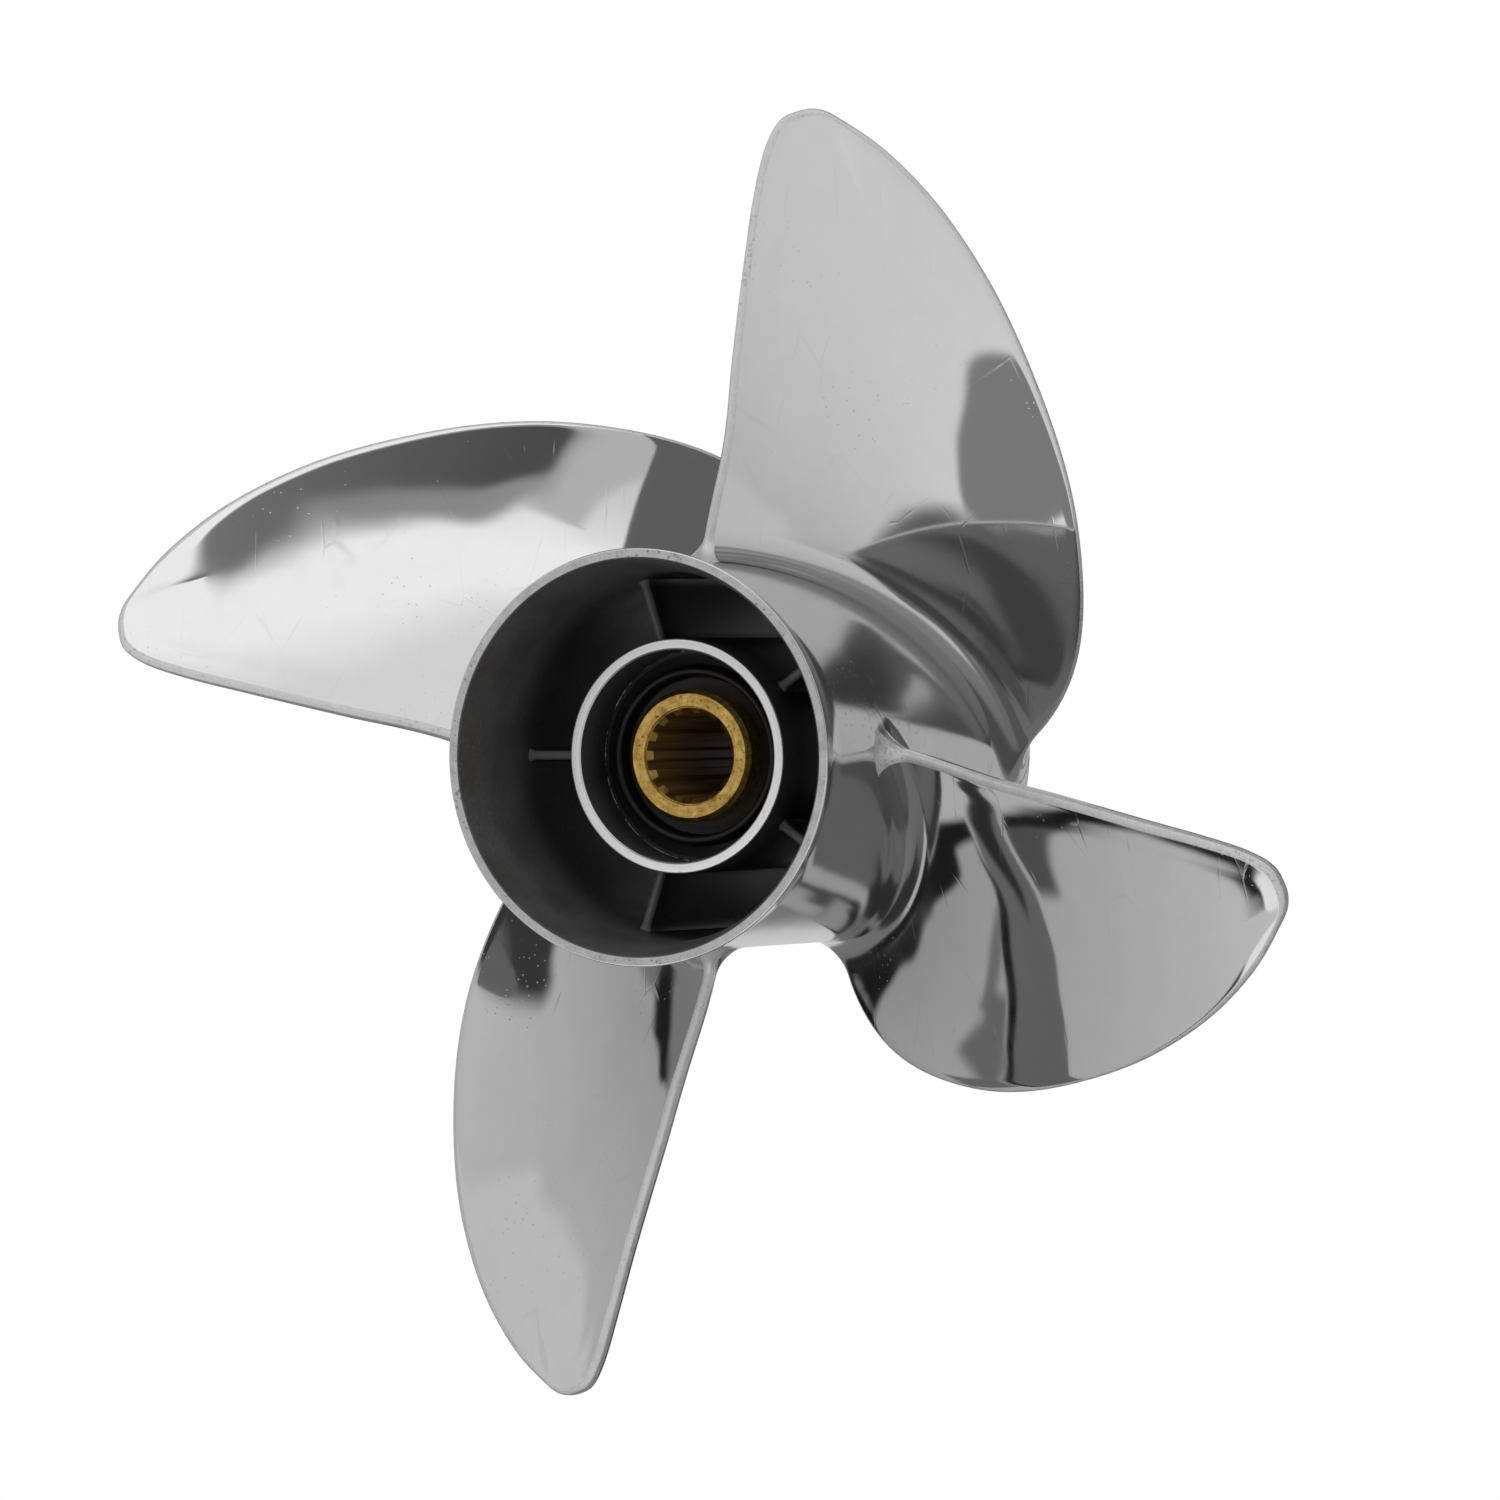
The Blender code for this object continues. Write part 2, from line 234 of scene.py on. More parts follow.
def paint_runs(shape, runs):
    """Give each face the material number of the profile run that it lies on."""
    segments = []
    everything = [(point, number) for points, number in runs for point in points]
    for (start, _), (end, number) in zip(everything, everything[1:] + everything[:1]):
        middle = ((start[0] + end[0]) / 2, (start[1] + end[1]) / 2)
        segments.append((middle, number))
    for face in shape.faces:
        centre = face.calc_center_median()
        radius, depth = math.hypot(centre.x, centre.z), centre.y - AFT_RIM
        nearest = min(segments, key=lambda item: (item[0][0] - radius) ** 2
                      + (item[0][1] - depth) ** 2)
        face.material_index = nearest[1]


def plain_material(name, colour, roughness, metallic):
    """A material of one colour."""
    material = bpy.data.materials.new(name)
    material.use_nodes = True
    shader = material.node_tree.nodes["Principled BSDF"]
    shader.inputs["Base Color"].default_value = (*colour, 1.0)
    shader.inputs["Roughness"].default_value = roughness
    shader.inputs["Metallic"].default_value = metallic
    return material


def flare_radius(depth):
    """Outer radius of the hub: a cylinder that flares to the aft rim."""
    flare = max(0.0, 1.0 - depth / FLARE_LENGTH)
    return HUB_RADIUS + (RIM_RADIUS - HUB_RADIUS) * flare ** 2


def make_outer_hub(steel, ground, inside):
    """Outer tube: polished outside, ground aft face, dark inside."""
    outside = arc(HUB_RADIUS - FRONT_ROUND, HUB_LENGTH - FRONT_ROUND, FRONT_ROUND, 90, 0, 6)
    for step in range(1, BODY_STEPS):
        share = step / BODY_STEPS
        depth = (HUB_LENGTH - FRONT_ROUND) * (1 - share) + FLARE_LENGTH * share
        outside.append((HUB_RADIUS, depth))
    for step in range(FLARE_STEPS):
        depth = FLARE_LENGTH + (RIM_EDGE - FLARE_LENGTH) * step / FLARE_STEPS
        outside.append((flare_radius(depth), depth))
    outside += arc(RIM_RADIUS - RIM_EDGE, RIM_EDGE, RIM_EDGE, 0, -90, 4)
    lip = RIM_RADIUS - HUB_WALL + RIM_INNER_EDGE
    face = [(lip, 0.0)]
    wall = arc(lip, RIM_INNER_EDGE, RIM_INNER_EDGE, -90, -180, 4)[1:]
    reach = FLARE_LENGTH + INNER_FLARE_EXTRA
    bore = HUB_RADIUS - HUB_WALL
    for step in range(1, FLARE_STEPS + 1):
        depth = RIM_INNER_EDGE + reach * step / FLARE_STEPS
        share = min(1.0, depth / reach)
        wall.append((bore + (RIM_RADIUS - HUB_RADIUS) * (1 - share) ** 2, depth))
    wall.append((bore, HUB_LENGTH))
    runs = [(outside, 0), (face, 1), (wall, 2)]
    return turned("outer_hub_skin", runs, [steel, ground, inside], "polished_steel",
                  "outer_hub")


def make_inner_hub(machined, inside, burr):
    """Inner tube: machined aft face, dark mouth and bore, a burr where the bore steps."""
    edge, bead = INNER_HUB_EDGE, BURR_RADIUS
    outer, front, aft = INNER_HUB_RADIUS, INNER_HUB_FRONT, INNER_HUB_AFT
    outside = arc(outer - edge, front - edge, edge, 90, 0, 3)
    outside += [(outer, aft + INNER_HUB_RING + edge), (outer, aft + edge)]
    rim = arc(outer - edge, aft + edge, edge, 0, -90, 4)[1:]
    rim.append((INNER_HUB_MOUTH_RADIUS + INNER_HUB_MOUTH_EDGE, aft))
    rim.append((INNER_HUB_MOUTH_RADIUS, aft + INNER_HUB_MOUTH_EDGE))
    mouth = [(INNER_HUB_MOUTH_RADIUS, INNER_HUB_STEP - 2 * bead)]
    ridge = arc(INNER_HUB_MOUTH_RADIUS, INNER_HUB_STEP - bead, bead, 260, 100, 6)
    bore = [(INNER_HUB_MOUTH_RADIUS - bead, INNER_HUB_STEP),
            (INNER_HUB_BORE_RADIUS, INNER_HUB_STEP), (INNER_HUB_BORE_RADIUS, front)]
    runs = [(outside, 1), (rim, 0), (mouth, 1), (ridge, 2), (bore, 1)]
    return turned("inner_hub_skin", runs, [machined, inside, burr], "cast_steel", "inner_hub")


def make_bushing(rubber):
    """Rubber bushing with its moulded collar."""
    outer, inner, fillet = INNER_HUB_BORE_RADIUS, SLEEVE_RADIUS, COLLAR_FILLET
    face = INNER_HUB_STEP + BUSHING_GAP
    collar = (COLLAR_OUTER_RADIUS - COLLAR_INNER_RADIUS) / 2
    middle = (COLLAR_OUTER_RADIUS + COLLAR_INNER_RADIUS) / 2
    profile = [(outer, BUSHING_FRONT), (outer, face), (COLLAR_OUTER_RADIUS + fillet, face)]
    profile += arc(COLLAR_OUTER_RADIUS + fillet, face - fillet, fillet, 90, 180, 3)
    profile += arc(middle, COLLAR_AFT + collar, collar, 0, -180, 8)
    profile += arc(COLLAR_INNER_RADIUS - fillet, face - fillet, fillet, 0, 90, 3)
    profile += [(inner, face), (inner, BUSHING_FRONT)]
    return turned("drive_bushing", [(profile, 0)], [rubber], "black_rubber", "rubber_bushing")


def tooth_bore(angle):
    """Radius of the splined bore at this angle."""
    pitch = 2 * math.pi / TOOTH_COUNT
    away = abs((angle - math.pi + pitch / 2) % pitch - pitch / 2)
    tip_half = TOOTH_TIP_WIDTH / 2 / TOOTH_TIP_RADIUS
    base_half = TOOTH_BASE_WIDTH / 2 / TOOTH_ROOT_RADIUS
    share = min(1.0, max(0.0, (away - tip_half) / (base_half - tip_half)))
    return TOOTH_TIP_RADIUS + (TOOTH_ROOT_RADIUS - TOOTH_TIP_RADIUS) * share


def make_sleeve(brass, brass_painted_shade):
    """Brass sleeve: a grid wrapped round the axis, its bore lifted into spline teeth."""
    aft, front, chamfer = SLEEVE_AFT, SLEEVE_FRONT, SLEEVE_CHAMFER
    edge, mouth = SLEEVE_EDGE, SLEEVE_MOUTH_RADIUS
    face, cone = SLEEVE_RADIUS - chamfer, TOOTH_ROOT_RADIUS - TOOTH_TIP_RADIUS
    recess = aft + SLEEVE_RECESS
    front_recess = front - SLEEVE_RECESS
    rows = [(face, front), (SLEEVE_RADIUS, front - chamfer), (SLEEVE_RADIUS, aft + chamfer),
            (face, aft), (mouth + edge, aft), (mouth, aft + edge), (mouth, recess),
            (TOOTH_ROOT_RADIUS, recess), (TOOTH_ROOT_RADIUS - cone / 2, recess + cone / 2),
            (TOOTH_TIP_RADIUS, recess + cone), (TOOTH_TIP_RADIUS, front_recess - cone),
            (TOOTH_ROOT_RADIUS, front_recess), (mouth, front_recess), (mouth, front - edge),
            (mouth + edge, front)]
    around = TOOTH_COUNT * TOOTH_STEPS
    shape = bmesh.new()
    bmesh.ops.create_grid(shape, x_segments=around, y_segments=len(rows), size=0.5)
    for vert in shape.verts:
        i = round((vert.co.x + 0.5) * around)
        radius, depth = rows[round((vert.co.y + 0.5) * len(rows)) % len(rows)]
        angle = 2 * math.pi * i / around
        if radius <= TOOTH_ROOT_RADIUS:
            radius = max(radius, tooth_bore(angle))
        vert.co = at(radius, angle, depth)
    bmesh.ops.remove_doubles(shape, verts=shape.verts, dist=1e-6)
    bmesh.ops.recalc_face_normals(shape, faces=shape.faces)
    # Faces deep in the bore and the groove floors between the teeth take the darker brass: painted
    # shade.
    for item in shape.faces:
        centre = item.calc_center_median()
        radius, depth = math.hypot(centre.x, centre.z), centre.y - AFT_RIM
        between = depth > recess + edge and radius > TOOTH_ROOT_RADIUS - cone / 8
        deep = depth > recess + cone
        item.material_index = int(radius < mouth and (deep or between))
    return finish_piece("splined_sleeve", shape, [brass, brass_painted_shade], "brass", "spline_sleeve")


def rib_half_thickness(radius):
    """Half of a rib's thickness at this radius, with a fillet onto each hub."""
    gap = min(radius - INNER_HUB_RADIUS, HUB_RADIUS - HUB_WALL - radius)
    up = min(RIB_FILLET, max(0.0, gap))
    return (RIB_THICKNESS / 2 + RIB_FILLET
            - math.sqrt(RIB_FILLET ** 2 - (RIB_FILLET - up) ** 2))


def rib_station(i):
    """Depth and side (-1 to 1) of a station: along one side, round the nose, and back."""
    nose = RIB_THICKNESS / 2
    if i <= RIB_SIDE_STEPS:
        return RIB_FRONT + (RIB_AFT + nose - RIB_FRONT) * i / RIB_SIDE_STEPS, -1.0
    if i >= RIB_SIDE_STEPS + RIB_NOSE_STEPS:
        left = (i - RIB_SIDE_STEPS - RIB_NOSE_STEPS) / RIB_SIDE_STEPS
        return RIB_AFT + nose + (RIB_FRONT - RIB_AFT - nose) * left, 1.0
    turn = math.pi * (i - RIB_SIDE_STEPS) / RIB_NOSE_STEPS
    return RIB_AFT + nose - nose * math.sin(turn), -math.cos(turn)


def make_ribs(inside, wear_and_painted_highlight):
    """Ribs with a rounded aft edge, its nose painted lighter as a painted highlight, and a fillet
    where they meet the two hubs.
    """
    around = 2 * RIB_SIDE_STEPS + RIB_NOSE_STEPS
    inner = INNER_HUB_RADIUS - RIB_OVERLAP
    outer = HUB_RADIUS - HUB_WALL + RIB_OVERLAP
    for number in range(RIB_COUNT):
        middle = RIB_FIRST_ANGLE + 2 * math.pi * number / RIB_COUNT
        shape = bmesh.new()
        bmesh.ops.create_grid(shape, x_segments=around, y_segments=RIB_OUT_STEPS, size=0.5)
        for vert in shape.verts:
            depth, side = rib_station(round((vert.co.x + 0.5) * around))
            share = vert.co.y + 0.5
            radius = inner + (outer - inner) * share
            draft = 1 + RIB_DRAFT * (depth - RIB_AFT) / RIB_THICKNESS
            across = rib_half_thickness(radius) * side * draft
            spot = at(radius, middle, depth)
            vert.co = spot + across * Vector((-math.sin(middle), 0.0, math.cos(middle)))
        bmesh.ops.holes_fill(shape, edges=[e for e in shape.edges if e.is_boundary])
        bmesh.ops.recalc_face_normals(shape, faces=shape.faces)
        for face in shape.faces:
            # The nose faces take the lighter casting: a painted highlight where light falls on the
            # ribs' aft edges.
            on_nose = face.calc_center_median().y < AFT_RIM + RIB_AFT + RIB_THICKNESS / 2
            face.material_index = int(on_nose)
        finish_piece(f"rib_skin_{number + 1}", shape, [inside, wear_and_painted_highlight], "cast_steel",
                     f"rib_{number + 1}")


def outline_place(radius):
    """Where this radius lies on one side of the outline: 0 at the tip, 1 at the root."""
    return math.sqrt(max(0.0, TIP_RADIUS - radius) / (TIP_RADIUS - OUTLINE_ROOT))


TIP_ROW = OUTLINE.index(max(OUTLINE))
OUTLINE_PLACES = [outline_place(radius) * (1 if row > TIP_ROW else -1)
                  for row, (radius, _) in enumerate(OUTLINE)]


def outline_angle(place):
    """Angle on a smooth curve through OUTLINE; place is -1 at the leading root, 1 at the other."""
    last = len(OUTLINE) - 1
    index = 0
    while index < last - 1 and place > OUTLINE_PLACES[index + 1]:
        index += 1
    span = OUTLINE_PLACES[index + 1] - OUTLINE_PLACES[index]
    share = (place - OUTLINE_PLACES[index]) / span

    def slope(row):
        before, after = max(0, row - 1), min(last, row + 1)
        return ((OUTLINE[after][1] - OUTLINE[before][1])
                / (OUTLINE_PLACES[after] - OUTLINE_PLACES[before]) * span)

    square, cube = share ** 2, share ** 3
    value = ((2 * cube - 3 * square + 1) * OUTLINE[index][1]
             + (cube - 2 * square + share) * slope(index)
             + (3 * square - 2 * cube) * OUTLINE[index + 1][1]
             + (cube - square) * slope(index + 1))
    return math.radians(value)


def pitch_rate(radius):
    """Axial travel of the blade face for each radian, at this radius."""
    growth = BLADE_PITCH_GROWTH * (radius - BLADE_PITCH_RADIUS)
    return (BLADE_PITCH + growth) / (2 * math.pi)


def face_depth(radius, angle):
    """Distance forward of the aft rim of the blade's aft face."""
    out = radius - RIM_RADIUS
    rake = RAKE_LINEAR * out + RAKE_SQUARE * out ** 2 + RAKE_CUBE * out ** 3
    return BLADE_START - rake - pitch_rate(radius) * angle


def mix(low, high, share):
    """The value this share of the way from low to high."""
    return low + (high - low) * share


def trailing_share(place):
    """1 along the trailing edge, 0 along the leading edge, a smooth change near the tip."""
    start, end = TRAILING_TO_LEADING
    share = min(1.0, max(0.0, (place - end) / (start - end)))
    return share * share * (3 - 2 * share)


def section_stations():
    """Stations round a blade section: side, zone and share of the zone.

    They run from the spine over the aft face, the trailing edge and the forward face,
    then back over the leading edge. Side is 1 for the trailing half, -1 for the leading.
    A station and the one opposite through the blade add up to half the number of stations.
    """
    zones = (("face", FACE_STEPS), ("roll", ROLL_STEPS), ("edge", EDGE_STEPS),
             ("back_roll", ROLL_STEPS), ("back", FACE_STEPS))
    half = [(zone, step / steps) for zone, steps in zones for step in range(steps)]
    forward = [(1, *item) for item in half] + [(1, "back", 1.0)]
    return forward + [(-1, *item) for item in reversed(half[1:])]


def blade_radii():
    """Radii of the rows of a blade, close together in the root fillet and at the tip.

    The first row is there twice: make_blades folds the first copy into the blade's end.
    """
    radii = [OUTLINE_ROOT, OUTLINE_ROOT]
    for step in range(FILLET_STEPS):
        turn = math.radians(90) * step / FILLET_STEPS
        radii.append(HUB_RADIUS + LEADING_FILLET * (1 - math.cos(turn)))
    start = HUB_RADIUS + LEADING_FILLET
    for step in range(SPAN_STEPS + 1):
        radii.append(mix(start, TIP_RADIUS, 1 - (1 - step / SPAN_STEPS) ** TIP_CROWDING))
    return radii


def spine_end(radius):
    """Where the row that leaves the outline at this radius meets the blade's middle line."""
    knee = max(0.0, radius - SPINE_KNEE)
    spine_radius = radius - knee ** 2 / (2 * (TIP_RADIUS - SPINE_KNEE))
    place = outline_place(spine_radius)
    return spine_radius, (outline_angle(place) + outline_angle(-place)) / 2


def station_inset(zone, share, width, reach):
    """Distance of a station in from the outline, and how far its surface has turned over."""
    turn = math.radians(90) * share
    if zone == "face":
        return width + (reach - width) * (1 - share) ** EDGE_CROWDING, 0.0
    if zone == "roll":
        return width * (1 - math.sin(turn)), turn
    if zone == "edge":
        return 0.0, math.radians(90)
    if zone == "back_roll":
        return FORWARD_ROLL * (1 - math.cos(turn)), math.radians(90) + turn
    return FORWARD_ROLL + (reach - FORWARD_ROLL) * share ** EDGE_CROWDING, math.radians(180)


def station_depth(zone, share, crown, roll, deep):
    """Distance of a station forward of the cupped face, from crown, roll and thickness."""
    turn = math.radians(90) * share
    if zone == "face":
        return crown
    if zone == "roll":
        return crown + roll * (1 - math.cos(turn))
    if zone == "edge":
        return mix(crown + roll, deep - FORWARD_ROLL, share)
    if zone == "back_roll":
        return deep - FORWARD_ROLL * (1 - math.sin(turn))
    return deep


def edge_crown(inset, trailing):
    """How far the aft face falls away near the leading or the trailing edge."""
    leading_near = max(0.0, 1 - inset / LEADING_CROWN_WIDTH)
    trailing_near = max(0.0, 1 - inset / TRAILING_FACET_WIDTH)
    return (LEADING_CROWN * (1 - trailing) * leading_near ** 2
            + TRAILING_FACET * trailing * trailing_near ** TRAILING_FACET_POWER)


def blade_thickness(radius, inward, trailing):
    """Thickness at this radius and this share of the way from the edge to the spine."""
    edge = mix(LEADING_THICKNESS, TRAILING_THICKNESS, trailing)
    middle = mix(ROOT_THICKNESS, TIP_THICKNESS,
                 (radius - HUB_RADIUS) / (TIP_RADIUS - HUB_RADIUS))
    return mix(edge, middle, 1 - (1 - inward) ** 2)


def fillet_growth(radius, chord_share):
    """How far the root fillet swells the blade's section at this radius."""
    fillet = mix(TRAILING_FILLET, LEADING_FILLET, chord_share)
    up = min(fillet, max(0.0, radius - HUB_RADIUS))
    return fillet - math.sqrt(fillet ** 2 - (fillet - up) ** 2)


def blade_point(radius, side, zone, share):
    """Place one station of the row that leaves the outline at this radius."""
    place = side * outline_place(radius)
    edge_angle = outline_angle(place)
    spine_radius, spine_angle = spine_end(radius)
    slope = math.atan2(pitch_rate(radius), radius)
    reach = math.hypot(radius - spine_radius,
                       (radius + spine_radius) / 2 * (edge_angle - spine_angle)
                       / math.cos(slope))
    trailing = trailing_share(place)
    width = mix(LEADING_ROLL_WIDTH, TRAILING_ROLL_WIDTH, trailing)
    roll = mix(LEADING_ROLL_DEPTH, TRAILING_ROLL_DEPTH, trailing)
    inset, normal = station_inset(zone, share, width, reach)
    inward = inset / reach
    here = mix(radius, spine_radius, inward)
    angle = mix(edge_angle, spine_angle, inward)
    chord_share = inward / 2 if side > 0 else 1 - inward / 2
    near = max(0.0, 1 - inset / CUP_REACH) ** 3
    cup = CUP_DEPTH * mix(inward / 2, (1 - near) * (1 - inward / 2), trailing)
    across = cup + station_depth(zone, share, edge_crown(inset, trailing), roll,
                                 blade_thickness(here, inward, trailing))
    growth = fillet_growth(here, chord_share)
    across -= growth * math.cos(normal)
    outward = growth * math.sin(normal) * side
    slope = math.atan2(pitch_rate(here), here)
    sideways = across * math.sin(slope) + outward * math.cos(slope)
    forward = across * math.cos(slope) - outward * math.sin(slope)
    return at(here, angle + sideways / here, face_depth(here, angle) + forward)


def make_blades(steel, ground):
    """Four blades, each a grid wrapped round its sections, with fillets onto the hub."""
    stations = section_stations()
    radii = blade_radii()
    around, along = len(stations), len(radii) - 1
    blade = bmesh.new()
    bmesh.ops.create_grid(blade, x_segments=around, y_segments=along, size=0.5)
    for vert in blade.verts:
        vert.index = round((vert.co.x + 0.5) * around) % around
        row = round((vert.co.y + 0.5) * along)
        vert.co = blade_point(radii[row], *stations[vert.index])
        if row == 0:
            opposite = blade_point(radii[row], *stations[around // 2 - vert.index])
            folded = (vert.co + opposite) / 2
            spread = radii[row] / math.hypot(folded.x, folded.z)
            vert.co = Vector((folded.x * spread, folded.y, folded.z * spread))
    for face in blade.faces:
        centre = face.calc_center_median()
        outside_fillet = math.hypot(centre.x, centre.z) > HUB_RADIUS + LEADING_FILLET
        trailing = all(stations[vert.index][0] == 1 for vert in face.verts)
        on_band = [stations[vert.index][1] in ("roll", "edge") for vert in face.verts]
        face.material_index = int((trailing or outside_fillet) and sum(on_band) >= 3)
    bmesh.ops.remove_doubles(blade, verts=blade.verts, dist=1e-6)
    bmesh.ops.recalc_face_normals(blade, faces=blade.faces)
    for number in range(BLADE_COUNT):
        shape = blade.copy()
        base_angle = math.radians(90) + 2 * math.pi * number / BLADE_COUNT
        bmesh.ops.rotate(shape, verts=shape.verts, cent=(0, 0, 0),
                         matrix=Matrix.Rotation(-base_angle, 3, "Y"))
        finish_piece(f"blade_skin_{number + 1}", shape, [steel, ground],
                     "polished_steel", f"blade_{number + 1}", crease=BLADE_CREASE)
    blade.free()


# Camera, fitted to the photograph: it looks at the shaft axis near the aft rim
CAMERA_AZIMUTH = math.radians(24.804)
CAMERA_ELEVATION = math.radians(0.708)
CAMERA_ROLL = math.radians(-0.206)
CAMERA_DISTANCE = 3.016
CAMERA_SIDE = 0.031041
CAMERA_RISE = 0.002024
SENSOR_WIDTH = 36.0
LENS_LENGTH = 264.0

FLOOR_RADIUS = 1.1
FLOOR_HEIGHT = -0.30


def make_camera():
    """Camera at the photograph's angle and distance."""
    turn = (Matrix.Rotation(CAMERA_AZIMUTH, 4, "Z")
            @ Matrix.Rotation(math.radians(90) - CAMERA_ELEVATION, 4, "X")
            @ Matrix.Rotation(CAMERA_ROLL, 4, "Z"))
    right, up, back = (turn.col[i].to_3d() for i in range(3))
    data = bpy.data.cameras.new("camera")
    data.sensor_width = SENSOR_WIDTH
    data.lens = LENS_LENGTH
    data.clip_start = 0.1
    data.clip_end = 50.0
    camera = bpy.data.objects.new("camera", data)
    place = (Vector((0.0, AFT_RIM, 0.0)) + CAMERA_SIDE * right + CAMERA_RISE * up
             + CAMERA_DISTANCE * back)
    camera.matrix_world = Matrix.Translation(place) @ turn
    bpy.context.scene.collection.objects.link(camera)
    bpy.context.scene.camera = camera


def make_floor():
    """Pale disc below the propeller, which the steel doesn't reflect."""
    shape = bmesh.new()
    bmesh.ops.create_circle(shape, segments=96, radius=FLOOR_RADIUS, cap_ends=True,
                            matrix=Matrix.Translation((0.0, 0.0, FLOOR_HEIGHT)))
    mesh = bpy.data.meshes.new("floor")
    shape.to_mesh(mesh)
    shape.free()
    mesh.materials.append(plain_material("pale_floor", (0.9, 0.9, 0.9), 0.6, 0.0))
    floor = bpy.data.objects.new("floor", mesh)
    bpy.context.scene.collection.objects.link(floor)
    floor.visible_glossy = False


# Studio cards seen in the polished steel: name, brightness, its change per degree of azimuth
# and of elevation (as a share), middle azimuth and elevation, half width and half height,
# corner radius, slant of the long edges and edge softness, the last seven in degrees except
# the slant. Azimuth 0 is aft (-Y), 90 is the side towards +X. Later cards are in front.
STUDIO_CARDS = (
    ("right_wall", 0.21, -0.012, 0.006, 110, 0, 34, 85, 10, 0.0, 6),
    ("dark_right_wall", 0.085, 0.0, 0.0, 126, -15, 20, 42, 10, 0.0, 6),
    ("floor", 0.18, 0.0, 0.0, -20, -70, 115, 24, 2, 0.0, 1.5),
    ("dark_floor_right", 0.11, 0.0, 0.0, 60, -76, 60, 15, 4, 0.0, 3),
    ("ceiling", 0.87, 0.0, 0.0, 12, 60, 50, 35, 8, 0.0, 6),
    ("overhead_softbox", 1.25, 0.0, 0.0, 12, 26, 52, 14, 2, 0.0, 9),
    ("table", 0.775, -0.0055, 0.0, 7, -28.5, 51, 31.5, 5, 0.07, 1.5),
    ("right_side_card", 0.60, 0.0, -0.0033, 63, -5, 12, 36, 3, 0.0, 3),
    ("front_right_card", 0.78, 0.0, 0.022, 50, 15, 8, 13, 3, 0.0, 1.5),
    ("front_right_column", 0.58, 0.0, 0.0, 39, 13, 3.5, 11, 1, 0.0, 1),
    ("dark_above_camera", 0.30, 0.008, 0.0, 14, 16.1, 22, 14.2, 6, -0.22, 1.5),
    ("darker_above_camera", 0.15, -0.022, 0.0, 14.5, 13.9, 20.5, 14, 6, -0.33, 0.8),
    ("dark_low_left", 0.25, 0.0, 0.0, -11.5, -52, 12, 9.5, 4, 0.15, 1),
    ("bright_back", 0.65, 0.0, 0.0, -158, -8, 15, 12, 3, 0.0, 3),
    ("bright_right_back", 0.5, 0.0, 0.0, 167, 2, 14, 14, 3, 0.0, 3),
    ("black_gap", 0.012, 0.0, 0.0, -79, -19, 36, 18.6, 3, 0.0, 1),
    ("black_stand", 0.013, 0.0, 0.0, -110, -15, 6, 17, 2, 0.0, 1),
    ("grey_gap", 0.22, 0.0, 0.0, -107, 8, 11.5, 8, 1, 0.0, 1),
    ("side_card_low", 0.51, 0.0097, 0.0, -70, -16.2, 34, 18.6, 14, -0.02, 1),
    ("side_card_high", 0.53, 0.0097, 0.0, -73, 32, 26, 14, 4, 0.0, 1.5),
    ("side_card_middle", 0.53, 0.0097, 0.0, -68, 8, 27, 20, 2, 0.0, 2),
    ("bright_strip", 0.67, 0.0, 0.0, -61, 12, 6, 15, 1, 0.0, 1.5),
    ("black_arm", 0.015, 0.0, 0.0, -102, 18.2, 9, 2.2, 1, 0.0, 1),
    ("grey_high_left", 0.10, 0.0, 0.0, -100, 50, 17, 8, 2, 0.0, 1.5),
    ("dark_high_left", 0.045, 0.0, 0.0, -62, 52.5, 10.5, 9.7, 3, 0.3, 1.5),
    ("grey_patch", 0.16, 0.0, 0.0, -84.5, -12.5, 3.8, 4.2, 1, 0.0, 1),
    ("black_corner", 0.013, 0.0, 0.0, -101.5, -30, 5.5, 5.8, 1, -0.8, 1),
    ("seam", 0.15, 0.0, 0.0, -88.5, -20, 1, 6, 0.5, 0.0, 0.8),
    ("low_patch", 0.09, 0.0, 0.0, -83, -31.5, 4.5, 3.8, 1, 0.0, 1),
    ("under_card", 0.53, 0.0, 0.0, -76, -42, 31, 4.3, 1, 0.0, 1),
    ("black_foot", 0.035, 0.0, 0.0, -122, -57, 24, 11, 3, 0.0, 1.5),
)
ROOM_BRIGHTNESS = 0.2


def feed(tree, socket, value):
    """Feed a socket from another one, or set it to a constant."""
    if isinstance(value, bpy.types.NodeSocket):
        tree.links.new(value, socket)
    else:
        socket.default_value = value


def add_node(tree, kind, values, **settings):
    """A new node with its settings and its inputs, given by name."""
    node = tree.nodes.new(kind)
    for name, value in settings.items():
        setattr(node, name, value)
    for name, value in values.items():
        feed(tree, node.inputs[name], value)
    return node


def math_node(tree, operation, first, second=0.0):
    """A Math node fed by sockets or numbers; returns its output socket."""
    node = tree.nodes.new("ShaderNodeMath")
    node.operation = operation
    feed(tree, node.inputs[0], first)
    feed(tree, node.inputs[1], second)
    return node.outputs[0]


def fade(tree, value, start, end, at_start=0.0, at_end=1.0):
    """A smooth change from one value to another while the input goes from start to end."""
    node = add_node(tree, "ShaderNodeMapRange",
                    {"Value": value, "From Min": start, "From Max": end,
                     "To Min": at_start, "To Max": at_end}, interpolation_type="SMOOTHSTEP")
    return node.outputs["Result"]


def noise(tree, vector, scale, detail=2.0, roughness=0.5):
    """The value of a noise texture on this vector."""
    return add_node(tree, "ShaderNodeTexNoise",
                    {"Vector": vector, "Scale": scale, "Detail": detail,
                     "Roughness": roughness}).outputs[0]


def stretch(tree, vector, scale, turn=(0.0, 0.0, 0.0)):
    """A vector scaled and turned by a Mapping node."""
    return add_node(tree, "ShaderNodeMapping",
                    {"Vector": vector, "Rotation": turn, "Scale": scale}).outputs[0]


